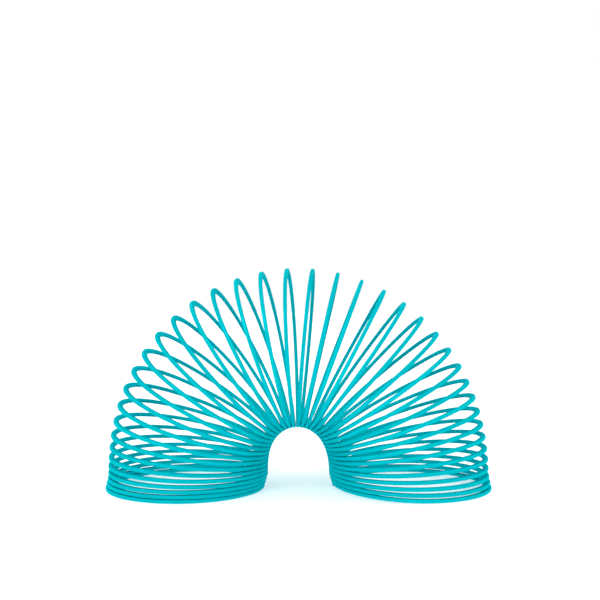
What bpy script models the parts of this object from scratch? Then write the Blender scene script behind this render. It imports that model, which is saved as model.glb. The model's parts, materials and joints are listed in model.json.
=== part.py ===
"""Spring coil toy: one plastic strip wound into a left-handed coil, standing as an arch.

Every turn of the coil is its own piece, TURNS in all. Each turn is a flat, closed turn of
the helix, and the arch's bend sits in the hinges between turns, at the seams on the
inner side of the arch. There each hinge axis lies along the strip itself, so a turn swings
by twisting the strip, and with every hinge closed the turns nest into a straight stack.

Sizes are named in millimetres and become metres in the scene.
+X runs from the first foot to the last, -Y is the front and +Z is up.
"""
import math

import bpy
from mathutils import Vector

MM = 0.001
NAME = "spring_coil_toy"

# The coil
TURNS = 40            # from foot to foot
OUTER_D = 75.0        # across the outside of the coil
STRIP_W = 2.6         # the strip's section, through the coil's wall
STRIP_T = 1.75        # and along the coil's axis
CORNER = 0.5          # chamfer on the section's corners
PITCH = 1.85          # rise of each turn of the closed coil
MID_R = OUTER_D / 2 - STRIP_W / 2

# The arch
BEND = math.pi        # the last turn stands upside down to the first
BEND_POWER = 1.47     # how strongly the bend gathers at the top of the arch
BEND_SKEW = 0.075     # how far it leans toward the first foot
EASE_TURNS = 8        # turns at each foot over which the legs' common lean sets in

# The feet
FLAT_SHARE = 0.68     # share of an end turn that lies flat on the table
FADE_TURNS = 6        # turns over which the flat end becomes a plain helix
SPLAY = 1.5           # how far each foot's lowest turns stand outward
SPLAY_TURNS = 3       # turns that share the splay

# The mesh
STEPS = 20            # straight lengths in one turn
SEAM_GAP = 0.12       # between the end faces of neighbouring turns
SEAM_END = 0.3        # short straight length that squares each end face

TURQUOISE = (0.0, 0.48, 0.57, 1.0)


def ease(share):
    """Smooth step from 0 to 1."""
    share = min(max(share, 0.0), 1.0)
    return share * share * (3 - 2 * share)


def bent_leans():
    """Lean of each turn, from level at the first foot to upside down at the last."""
    weights = []
    for k in range(1, TURNS):
        t = k / TURNS
        t += BEND_SKEW * t * (1 - t)
        weights.append(math.sin(math.pi * t) ** BEND_POWER)
    leans = [0.0]
    for weight in weights:
        leans.append(leans[-1] + BEND * weight / sum(weights))
    return leans


def shifted_leans(leans, shift):
    """The leans with a common shift that fades out toward both feet."""
    last = TURNS - 1
    fades = [ease(turn / EASE_TURNS) * ease((last - turn) / EASE_TURNS) for turn in range(TURNS)]
    return [lean + shift * fade for lean, fade in zip(leans, fades)]


def turn_leans(slides):
    """The bent leans, shifted until both feet stand on one level."""
    leans = bent_leans()
    low, high = -0.5, 0.5
    for _ in range(40):
        shift = (low + high) / 2
        if end_point(shifted_leans(leans, shift), slides).y > 0:
            low = shift
        else:
            high = shift
    return shifted_leans(leans, shift)


def turn_slides():
    """Sideways slide of each turn along its length: the lowest turns step in toward the leg."""
    step = SPLAY / SPLAY_TURNS
    return [step] * SPLAY_TURNS + [0.0] * (TURNS - 2 * SPLAY_TURNS) + [-step] * SPLAY_TURNS


def end_point(leans, slides):
    """Where the strip's inner side ends, as X and Z from its start."""
    x = sum(PITCH * math.sin(lean) + slide * math.cos(lean) for lean, slide in zip(leans, slides))
    z = sum(PITCH * math.cos(lean) - slide * math.sin(lean) for lean, slide in zip(leans, slides))
    return Vector((x, z))


def late_climb(share):
    """Height along a turn that lies flat first and climbs to 1 at its end."""
    t = max(0.0, (share - FLAT_SHARE) / (1 - FLAT_SHARE))
    return t * t * (2 - t)


def climb(turn, share):
    """Height of a turn above its own start, as part of its rise, at a share of its way round."""
    first = max(0.0, 1 - turn / FADE_TURNS)
    last = max(0.0, 1 - (TURNS - 1 - turn) / FADE_TURNS)
    early_climb = 1 - late_climb(1 - share)
    return share + first * (late_climb(share) - share) + last * (early_climb - share)


def turn_path(turn, slide):
    """Centre line of a turn, from its seam at the origin once round an axis at x = -MID_R."""
    length = 2 * math.pi * MID_R
    ends = [SEAM_GAP / 2 / length, (SEAM_GAP / 2 + SEAM_END) / length]
    shares = ends + [step / STEPS for step in range(1, STEPS)] + [1 - end for end in reversed(ends)]
    points = []
    for share in shares:
        angle = 2 * math.pi * share
        x = MID_R * (math.cos(angle) - 1) + slide * share
        points.append((x, -MID_R * math.sin(angle), PITCH * climb(turn, share)))
    return points


def poly_curve(name, points, closed=False):
    """Curve through points given in millimetres."""
    curve = bpy.data.curves.new(name, "CURVE")
    curve.dimensions = "3D"
    spline = curve.splines.new("POLY")
    spline.points.add(len(points) - 1)
    for point, place in zip(spline.points, points):
        point.co = (*(Vector(place) * MM), 1.0)
    spline.use_cyclic_u = closed
    return curve


def section_guide(group):
    """The strip's section, swept along every turn: X through the wall and Y along the axis."""
    w, t = STRIP_W / 2, STRIP_T / 2
    outline = [(w, t - CORNER), (w - CORNER, t)]
    outline += [(-x, y) for x, y in reversed(outline)]
    outline += [(-x, -y) for x, y in outline]
    curve = poly_curve("strip_section", [(x, y, 0) for x, y in reversed(outline)], closed=True)
    guide = bpy.data.objects.new("strip_section", curve)
    guide.hide_render = True
    guide.display_type = "WIRE"
    group.objects.link(guide)
    return guide


def make_turn(name, turn, slide, section, material):
    """One turn of the strip, with its origin on the seam where it starts."""
    curve = poly_curve(name, turn_path(turn, slide))
    curve.twist_mode = "Z_UP"
    curve.bevel_mode = "OBJECT"
    curve.bevel_object = section
    curve.use_fill_caps = True
    curve.materials.append(material)
    return bpy.data.objects.new(name, curve)


def make_plastic():
    material = bpy.data.materials.new("turquoise_plastic")
    material.use_nodes = True
    shader = material.node_tree.nodes["Principled BSDF"]
    shader.inputs["Base Color"].default_value = TURQUOISE
    shader.inputs["Roughness"].default_value = 0.3
    shader.inputs["Metallic"].default_value = 0.0
    material.diffuse_color = TURQUOISE
    return material


def make_collection(name):
    group = bpy.data.collections.new(name)
    bpy.context.scene.collection.children.link(group)
    return group


def main():
    for old in list(bpy.data.objects):
        bpy.data.objects.remove(old, do_unlink=True)
    toy = make_collection(NAME)
    guides = make_collection("guides")
    section = section_guide(guides)
    plastic = make_plastic()

    slides = turn_slides()
    leans = turn_leans(slides)
    foot_span = end_point(leans, slides).x

    before = None
    for turn, slide in enumerate(slides):
        piece = make_turn(f"turn_{turn + 1:02d}", turn, slide, section, plastic)
        toy.objects.link(piece)
        if before is None:
            piece.location = Vector((-foot_span / 2, 0, STRIP_T / 2)) * MM
        else:
            # a turn starts where the one before it ends, on the hinge between them
            piece.parent = before
            piece.location = Vector((slides[turn - 1], 0, PITCH)) * MM
            piece.rotation_euler = (0, leans[turn] - leans[turn - 1], 0)
        before = piece


main()
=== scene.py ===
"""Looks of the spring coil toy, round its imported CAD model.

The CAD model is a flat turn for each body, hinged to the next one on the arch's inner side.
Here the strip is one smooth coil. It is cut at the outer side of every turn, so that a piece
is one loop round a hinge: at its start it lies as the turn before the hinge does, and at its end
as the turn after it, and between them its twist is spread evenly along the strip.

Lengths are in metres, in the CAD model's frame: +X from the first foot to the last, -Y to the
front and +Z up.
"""
import json
import math

import bpy
import numpy as np
from mathutils import Matrix, Vector


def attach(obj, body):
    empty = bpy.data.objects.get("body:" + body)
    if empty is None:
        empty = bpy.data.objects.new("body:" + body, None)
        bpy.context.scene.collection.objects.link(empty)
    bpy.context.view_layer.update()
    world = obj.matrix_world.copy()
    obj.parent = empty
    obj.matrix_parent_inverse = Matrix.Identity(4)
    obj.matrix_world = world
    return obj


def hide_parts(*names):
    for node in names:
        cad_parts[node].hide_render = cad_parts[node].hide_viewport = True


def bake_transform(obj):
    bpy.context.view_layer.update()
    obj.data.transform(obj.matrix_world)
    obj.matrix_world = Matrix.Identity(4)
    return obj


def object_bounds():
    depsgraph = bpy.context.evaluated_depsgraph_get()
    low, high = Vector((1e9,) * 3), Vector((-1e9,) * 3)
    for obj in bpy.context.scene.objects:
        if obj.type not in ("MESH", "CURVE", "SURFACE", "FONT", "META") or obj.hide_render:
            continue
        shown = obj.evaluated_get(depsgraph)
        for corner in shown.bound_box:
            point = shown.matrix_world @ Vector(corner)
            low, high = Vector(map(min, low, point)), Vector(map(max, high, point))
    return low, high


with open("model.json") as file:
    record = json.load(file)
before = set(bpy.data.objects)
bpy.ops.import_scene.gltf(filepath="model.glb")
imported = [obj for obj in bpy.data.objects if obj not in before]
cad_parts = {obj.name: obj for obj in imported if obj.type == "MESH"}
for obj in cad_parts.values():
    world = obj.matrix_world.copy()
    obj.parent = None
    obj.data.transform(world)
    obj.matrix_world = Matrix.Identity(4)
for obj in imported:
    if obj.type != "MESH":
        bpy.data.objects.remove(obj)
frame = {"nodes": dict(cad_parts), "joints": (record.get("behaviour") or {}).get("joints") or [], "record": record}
cad_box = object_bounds()

MM = 0.001

# The coil, as the CAD model has it
TURNS = len(frame["nodes"])
OUTER_D = cad_box[1].y - cad_box[0].y
STRIP_W = 2.6 * MM            # the strip's section, through the coil's wall
STRIP_T = 1.75 * MM           # and along the coil's axis
MID_R = (OUTER_D - STRIP_W) / 2
FLAT_SHARE = 0.68             # share of an end turn that lies flat
FADE_TURNS = 6                # turns over which the flat end becomes a plain helix

# The strip's section
SQUARENESS = 4.2              # power of its superellipse: 2 is an ellipse
SECTION_POINTS = 20
STEPS = 96                    # rings in one turn
SEAM_SHARE = 0.0002           # of a turn, the short last length that keeps the shading whole at a cut
END_ROUND = 0.5 * MM          # rounding of the strip's two free ends
END_RINGS = 4
SHARP_FROM = math.radians(60)  # edges that turn by more are shaded sharp

# The camera
CAMERA_PLACE = (-0.3 * MM, -407.2 * MM, 85.5 * MM)
CAMERA_TILT = 0.0366          # radians below level
CAMERA_TURN = 0.0008          # radians toward +X
LENS = 51.8                   # in millimetres, as is the sensor
SENSOR_WIDTH = 36
SHIFT = (0.0023, 0.0628)
NEAREST = 10 * MM             # the camera sees nothing closer

# The plastic, as linear colours
PLASTIC_DEEP = (0.0, 0.36, 0.425, 1)
PLASTIC_LIGHT = (0.0, 0.47, 0.535, 1)
PLASTIC_PALE = (0.0, 0.64, 0.7, 1)
GLOSS_TINT = (0.0, 0.8, 0.9, 1)
GLOSS_SHARE = 0.2             # how much of the surface reflects as a metal would, in its own hue
ROUGHNESS = (0.2, 0.34)       # of the smoothest and the roughest plastic, before wear
GLOW_SHARE = 0.5              # of the light, which enters the plastic and leaves it nearby
GLOW_REACH = 1.5 * MM
GLOW_HUES = (0.2, 1.0, 1.0)   # how far each of red, green and blue goes, as part of that reach
FLOW_SHARE = 0.3              # how strongly the flow lines show
WEAR_SHARE = 0.5              # how strongly the rubbed edges show
WEAR_LEAST = 0.2              # of that, between the rubbed patches
WEAR_FROM = 0.55              # edge mark at which the wear begins
PATCH_NOISE = (0.4, 0.65)     # noise outside a rubbed patch, and in the middle of one
RELIEF_HEIGHT = 0.03 * MM     # of the raised lines and the grain
RELIEF_SHARE = 0.4

# Its texture, as noise cells to the metre along the strip and across it
SHADE_CELLS = (9, 60)
FLOW_CELLS = (25, 2600)
PATCH_CELLS = (140, 500)
ROUGH_CELLS = (60, 900)
LINE_CELLS = (30, 4200)
GRAIN_CELLS = (3500, 3500)
NOISE_REACH = (0.3, 0.7)      # the values that nearly all of the noise lies between

# The studio
WHITE = (1, 1, 1, 1)
FLOOR_COLOUR = (0.92, 0.92, 0.92, 1)
FLOOR_ROUGHNESS = 0.9
FLOOR_GLOSS = 0.1
FLOOR_REACH = 12.0
FLOOR_GLOW = 0.4              # the floor is a light table, which keeps shadows faint
SURROUND = 1.0
KEY_PLACE = (-0.25, -0.5, 0.6)
KEY_WIDTH = 0.25
KEY_POWER = 1.0
FILL_PLACE = (0.1, -1.1, 0.45)
FILL_WIDTH = 0.8
FILL_POWER = 0.2


# ---------------------------------------------------------------- the arch

def hinge_openings():
    """How far each hinge is open in the arch, which is as far as it can close."""
    opening = {joint["name"]: math.radians(joint["range_deg"][1]) for joint in frame["joints"]}
    for link in frame["record"]["behaviour"]["couplings"]:
        opening[link["joint"]] = link["ratio"] * opening[link["follows"]]
    return [opening[joint["name"]] for joint in frame["joints"]]


def turn_steps():
    """From each turn's start to its end, in the turn's own frame: X is its slide and Z its rise."""
    steps = []
    for lean, before, after in zip(LEANS[1:], HINGES, HINGES[1:]):
        steps.append(Matrix.Rotation(-lean, 3, "Y") @ (after - before))
    # the end turns are as long as their neighbours
    return [steps[0], *steps, steps[-1]]


def seam_points():
    """The inner end of every turn: the strip's start, the hinges in order, and its end."""
    start = HINGES[0] - TURN_STEPS[0]
    end = HINGES[-1] + Matrix.Rotation(LEANS[-1], 3, "Y") @ TURN_STEPS[-1]
    return [start, *HINGES, end]


HINGES = [Vector(joint["pos_m"]) for joint in frame["joints"]]
OPENINGS = hinge_openings()
LEANS = [0.0, *np.cumsum(OPENINGS)]
TURN_STEPS = turn_steps()
SEAMS = seam_points()


def late_climb(share):
    """Height along a turn that lies flat first and climbs to 1 at its end."""
    t = max(0.0, (share - FLAT_SHARE) / (1 - FLAT_SHARE))
    return t * t * (2 - t)


def climb(turn, share):
    """Height of a turn above its own start, as part of its rise, at a share of its way round."""
    first = max(0.0, 1 - turn / FADE_TURNS)
    last = max(0.0, 1 - (TURNS - 1 - turn) / FADE_TURNS)
    early_climb = 1 - late_climb(1 - share)
    return share + first * (late_climb(share) - share) + last * (early_climb - share)


# ---------------------------------------------------------------- the strip

def strip_section():
    """Points round the strip's section: X through the wall and Y along the axis."""
    points = []
    for step in range(SECTION_POINTS):
        angle = 2 * math.pi * (step + 0.5) / SECTION_POINTS
        c, s = math.cos(angle), math.sin(angle)
        reach = (abs(c) ** SQUARENESS + abs(s) ** SQUARENESS) ** (-1 / SQUARENESS)
        points.append((STRIP_W / 2 * reach * c, STRIP_T / 2 * reach * s))
    return points


SECTION = strip_section()


def ring(place, seam, size=1.0):
    """The section's points at a place along the strip, in turns, flat and measured from a seam."""
    turn = min(int(place), TURNS - 1)
    share = place - turn
    slide, _, rise = TURN_STEPS[turn]
    start = Vector((-MID_R, 0, 0))
    if turn < seam:
        start -= TURN_STEPS[turn]
    angle = 2 * math.pi * share
    out = Vector((math.cos(angle), -math.sin(angle), 0))
    middle = start + MID_R * out + Vector((slide * share, 0, rise * climb(turn, share)))
    return [middle + size * x * out + Vector((0, 0, size * y)) for x, y in SECTION]


def blend_place(share):
    """Where a blend from 0 to 1 turns a point by this share: its smooth step backwards."""
    return 0.5 - math.sin(math.asin(1 - 2 * share) / 3)


def places_between(start, end):
    """Places along the strip from start to end, in turns, with a short length at each cut."""
    steps = round((end - start) * STEPS)
    places = [start + (end - start) * step / steps for step in range(1, steps)]
    return [start, start + SEAM_SHARE, *places, end - SEAM_SHARE, end]


def tube(name, rings, places):
    """A closed strip through rings of points, with a map of its length and its girth."""
    sides = SECTION_POINTS
    vertices = [point for points in rings for point in points]
    faces = []
    for r in range(len(rings) - 1):
        for side in range(sides):
            after = (side + 1) % sides
            near, far = r * sides, (r + 1) * sides
            faces.append((near + side, far + side, far + after, near + after))
    last = (len(rings) - 1) * sides
    faces.append(tuple(range(sides)))
    faces.append(tuple(last + side for side in reversed(range(sides))))
    mesh = bpy.data.meshes.new(name)
    mesh.from_pydata(vertices, [], faces)
    length_map(mesh, places)
    edge_marks(mesh)
    mesh.shade_smooth()
    mesh.set_sharp_from_angle(angle=SHARP_FROM)
    piece = bpy.data.objects.new(name, mesh)
    bpy.context.scene.collection.objects.link(piece)
    return piece


def length_map(mesh, places):
    """UVs in metres: U along the strip from its start, V round its section."""
    girth = [0.0]
    for (x0, y0), (x1, y1) in zip(SECTION, SECTION[1:] + SECTION[:1]):
        girth.append(girth[-1] + math.hypot(x1 - x0, y1 - y0))
    uv = mesh.uv_layers.new(name="strip")
    turn_length = 2 * math.pi * MID_R
    for face in mesh.polygons:
        corners = list(face.loop_indices)
        if len(corners) > 4:
            continue
        sides = [mesh.loops[i].vertex_index % SECTION_POINTS for i in corners]
        for i, side in zip(corners, sides):
            place = places[mesh.loops[i].vertex_index // SECTION_POINTS]
            wrapped = side == 0 and SECTION_POINTS - 1 in sides
            uv.data[i].uv = (place * turn_length, girth[SECTION_POINTS if wrapped else side])


def edge_marks(mesh):
    """Marks the section's rounded edges with 1 and the middles of its faces with 0."""
    marks = [abs(x * y) / (STRIP_W * STRIP_T / 4) for x, y in SECTION]
    values = [marks[i % SECTION_POINTS] / max(marks) for i in range(len(mesh.vertices))]
    mesh.attributes.new("edge", "FLOAT", "POINT").data.foreach_set("value", values)


def loop_piece(seam):
    """The loop round a hinge, from the outer side of one turn to the outer side of the next."""
    start, end = seam - 0.5, seam + 0.5
    places = places_between(start, end)
    flat = [ring(place, seam) for place in places]
    straight = []
    for place in places:
        along = blend_place(place - start)
        straight.append([Vector((along, x, y)) for x, y in SECTION])
    piece = tube(f"loop_{seam:02d}", straight, places)
    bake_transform(piece)
    wound = []
    for place, points in zip(places, flat):
        lean = LEANS[seam - 1] + (place - start) * OPENINGS[seam - 1]
        wound += wind(points, lean, SEAMS[seam])
    piece.data.vertices.foreach_set("co", np.array(wound, np.float32).ravel())
    piece.data.update()
    return piece


def wind(points, lean, hinge):
    """Flat points of a turn, leaned over about the hinge they are measured from."""
    turned = Matrix.Rotation(lean, 3, "Y")
    return [hinge + turned @ point for point in points]


def end_piece(name, body, start, end, seam):
    """The half turn at one of the strip's ends, with the free end rounded."""
    places = places_between(start, end)
    sizes = [1.0] * len(places)
    turn_length = 2 * math.pi * MID_R
    for step in range(END_RINGS):
        back = (1 - math.cos(math.pi / 2 * step / END_RINGS)) * END_ROUND / turn_length
        size = 1 - (1 - math.sin(math.pi / 2 * step / END_RINGS)) * END_ROUND / (STRIP_W / 2)
        if start == 0:
            places.insert(step, back)
            sizes.insert(step, size)
        else:
            places.insert(len(places) - step, end - back)
            sizes.insert(len(sizes) - step, size)
    lean = LEANS[-1] if seam else 0.0
    rings = [wind(ring(place, seam, size), lean, SEAMS[seam]) for place, size in zip(places, sizes)]
    piece = tube(name, rings, places)
    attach(piece, body)
    return piece


def make_strip(material):
    first = end_piece("strip_start", "turn_01", 0.0, 0.5, 0)
    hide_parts("turn_01")
    last = end_piece("strip_end", f"turn_{TURNS:02d}", TURNS - 0.5, TURNS, TURNS)
    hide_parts(f"turn_{TURNS:02d}")
    pieces = [first, last]
    for seam in range(1, TURNS):
        piece = loop_piece(seam)
        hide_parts(f"turn_{seam:02d}", f"turn_{seam + 1:02d}")
        pieces.append(piece)
    for piece in pieces:
        piece.data.materials.append(material)


# ---------------------------------------------------------------- the plastic

def node(tree, kind, inputs=(), **settings):
    """A shader node with its settings, and its inputs as values or as sockets to link."""
    made = tree.nodes.new(kind)
    for name, value in settings.items():
        setattr(made, name, value)
    for name, value in dict(inputs).items():
        if isinstance(value, bpy.types.NodeSocket):
            tree.links.new(value, made.inputs[name])
        else:
            made.inputs[name].default_value = value
    return made


def noise_along(tree, place, cells, detail=2.0):
    """Noise with this many cells to the metre along the strip and across it."""
    stretched = node(tree, "ShaderNodeVectorMath", {0: place, 1: (*cells, 1)}, operation="MULTIPLY")
    inputs = {"Vector": stretched.outputs[0], "Scale": 1.0, "Detail": detail}
    return node(tree, "ShaderNodeTexNoise", inputs).outputs["Fac"]


def ramp(tree, value, result, source=NOISE_REACH):
    """A value within the source limits as one within the result limits."""
    inputs = {"Value": value, "From Min": source[0], "From Max": source[1]}
    inputs |= {"To Min": result[0], "To Max": result[1]}
    return node(tree, "ShaderNodeMapRange", inputs).outputs["Result"]


def combined(tree, operation, first, second):
    """Two values added or multiplied."""
    return node(tree, "ShaderNodeMath", {0: first, 1: second}, operation=operation).outputs[0]


def blended(tree, share, first, second):
    """A colour between two others."""
    mix = node(tree, "ShaderNodeMix", data_type="RGBA")
    for socket, value in zip((mix.inputs[0], mix.inputs[6], mix.inputs[7]), (share, first, second)):
        if isinstance(value, bpy.types.NodeSocket):
            tree.links.new(value, socket)
        else:
            socket.default_value = value
    return mix.outputs[2]


def plastic():
    """Turquoise moulded plastic: slow shade changes, flow lines along the strip and rubbed edges."""
    material = bpy.data.materials.new("turquoise_plastic")
    material.use_nodes = True
    tree = material.node_tree
    place = node(tree, "ShaderNodeUVMap", uv_map="strip").outputs["UV"]
    edge = node(tree, "ShaderNodeAttribute", attribute_name="edge").outputs["Fac"]

    shade = ramp(tree, noise_along(tree, place, SHADE_CELLS), (0, 1))
    colour = blended(tree, shade, PLASTIC_DEEP, PLASTIC_LIGHT)
    flow = ramp(tree, noise_along(tree, place, FLOW_CELLS, detail=3), (0, FLOW_SHARE))
    colour = blended(tree, flow, colour, PLASTIC_PALE)
    patches = ramp(tree, noise_along(tree, place, PATCH_CELLS, detail=4), (WEAR_LEAST, 1), PATCH_NOISE)
    worn = combined(tree, "MULTIPLY", ramp(tree, edge, (0, 1), (WEAR_FROM, 1)), patches)
    rub = combined(tree, "MULTIPLY", worn, WEAR_SHARE)
    colour = blended(tree, rub, colour, PLASTIC_PALE)

    rough = ramp(tree, noise_along(tree, place, ROUGH_CELLS, detail=4), ROUGHNESS)
    rough = combined(tree, "ADD", rough, rub)
    lines = noise_along(tree, place, LINE_CELLS)
    grain = noise_along(tree, place, GRAIN_CELLS)
    height = combined(tree, "ADD", lines, grain)
    relief = {"Height": height, "Strength": RELIEF_SHARE, "Distance": RELIEF_HEIGHT}
    bump = node(tree, "ShaderNodeBump", relief)

    shader = tree.nodes["Principled BSDF"]
    tree.links.new(colour, shader.inputs["Base Color"])
    tree.links.new(rough, shader.inputs["Roughness"])
    tree.links.new(bump.outputs["Normal"], shader.inputs["Normal"])
    # a white reflection would grey the plastic toward its outlines, so the reflection is tinted
    shader.inputs["Specular IOR Level"].default_value = 0.0
    shader.inputs["Metallic"].default_value = GLOSS_SHARE
    shader.inputs["Specular Tint"].default_value = GLOSS_TINT
    shader.inputs["Subsurface Weight"].default_value = GLOW_SHARE
    shader.inputs["Subsurface Radius"].default_value = GLOW_HUES
    shader.inputs["Subsurface Scale"].default_value = GLOW_REACH
    return material


# ---------------------------------------------------------------- floor, light and camera

def make_floor():
    mesh = bpy.data.meshes.new("floor")
    far = FLOOR_REACH
    corners = [(-far, -far, 0), (far, -far, 0), (far, far, 0), (-far, far, 0)]
    mesh.from_pydata(corners, [], [(0, 1, 2, 3)])
    floor = bpy.data.objects.new("floor", mesh)
    bpy.context.scene.collection.objects.link(floor)
    material = bpy.data.materials.new("pale_floor")
    material.use_nodes = True
    shader = material.node_tree.nodes["Principled BSDF"]
    shader.inputs["Base Color"].default_value = FLOOR_COLOUR
    shader.inputs["Roughness"].default_value = FLOOR_ROUGHNESS
    shader.inputs["Specular IOR Level"].default_value = FLOOR_GLOSS
    shader.inputs["Emission Color"].default_value = WHITE
    shader.inputs["Emission Strength"].default_value = FLOOR_GLOW
    mesh.materials.append(material)


def soft_box(name, place, width, power):
    """A square soft light that faces the middle of the arch."""
    data = bpy.data.lights.new(name, "AREA")
    data.size = width
    data.energy = power
    light = bpy.data.objects.new(name, data)
    middle = (cad_box[0] + cad_box[1]) / 2
    facing = (middle - Vector(place)).to_track_quat("-Z", "Y")
    light.matrix_world = Matrix.Translation(place) @ facing.to_matrix().to_4x4()
    bpy.context.scene.collection.objects.link(light)


def make_light():
    world = bpy.data.worlds.new("studio")
    bpy.context.scene.world = world
    world.use_nodes = True
    background = world.node_tree.nodes["Background"]
    background.inputs["Color"].default_value = WHITE
    background.inputs["Strength"].default_value = SURROUND
    soft_box("key_box", KEY_PLACE, KEY_WIDTH, KEY_POWER)
    soft_box("fill_box", FILL_PLACE, FILL_WIDTH, FILL_POWER)
    bpy.context.scene.view_settings.view_transform = "Standard"


def make_camera():
    data = bpy.data.cameras.new("camera")
    data.sensor_width = SENSOR_WIDTH
    data.lens = LENS
    data.shift_x, data.shift_y = SHIFT
    data.clip_start = NEAREST
    camera = bpy.data.objects.new("camera", data)
    look = Matrix.Rotation(-CAMERA_TURN, 4, "Z") @ Matrix.Rotation(math.pi / 2 - CAMERA_TILT, 4, "X")
    camera.matrix_world = Matrix.Translation(CAMERA_PLACE) @ look
    bpy.context.scene.collection.objects.link(camera)
    bpy.context.scene.camera = camera


make_camera()
make_strip(plastic())
make_floor()
make_light()
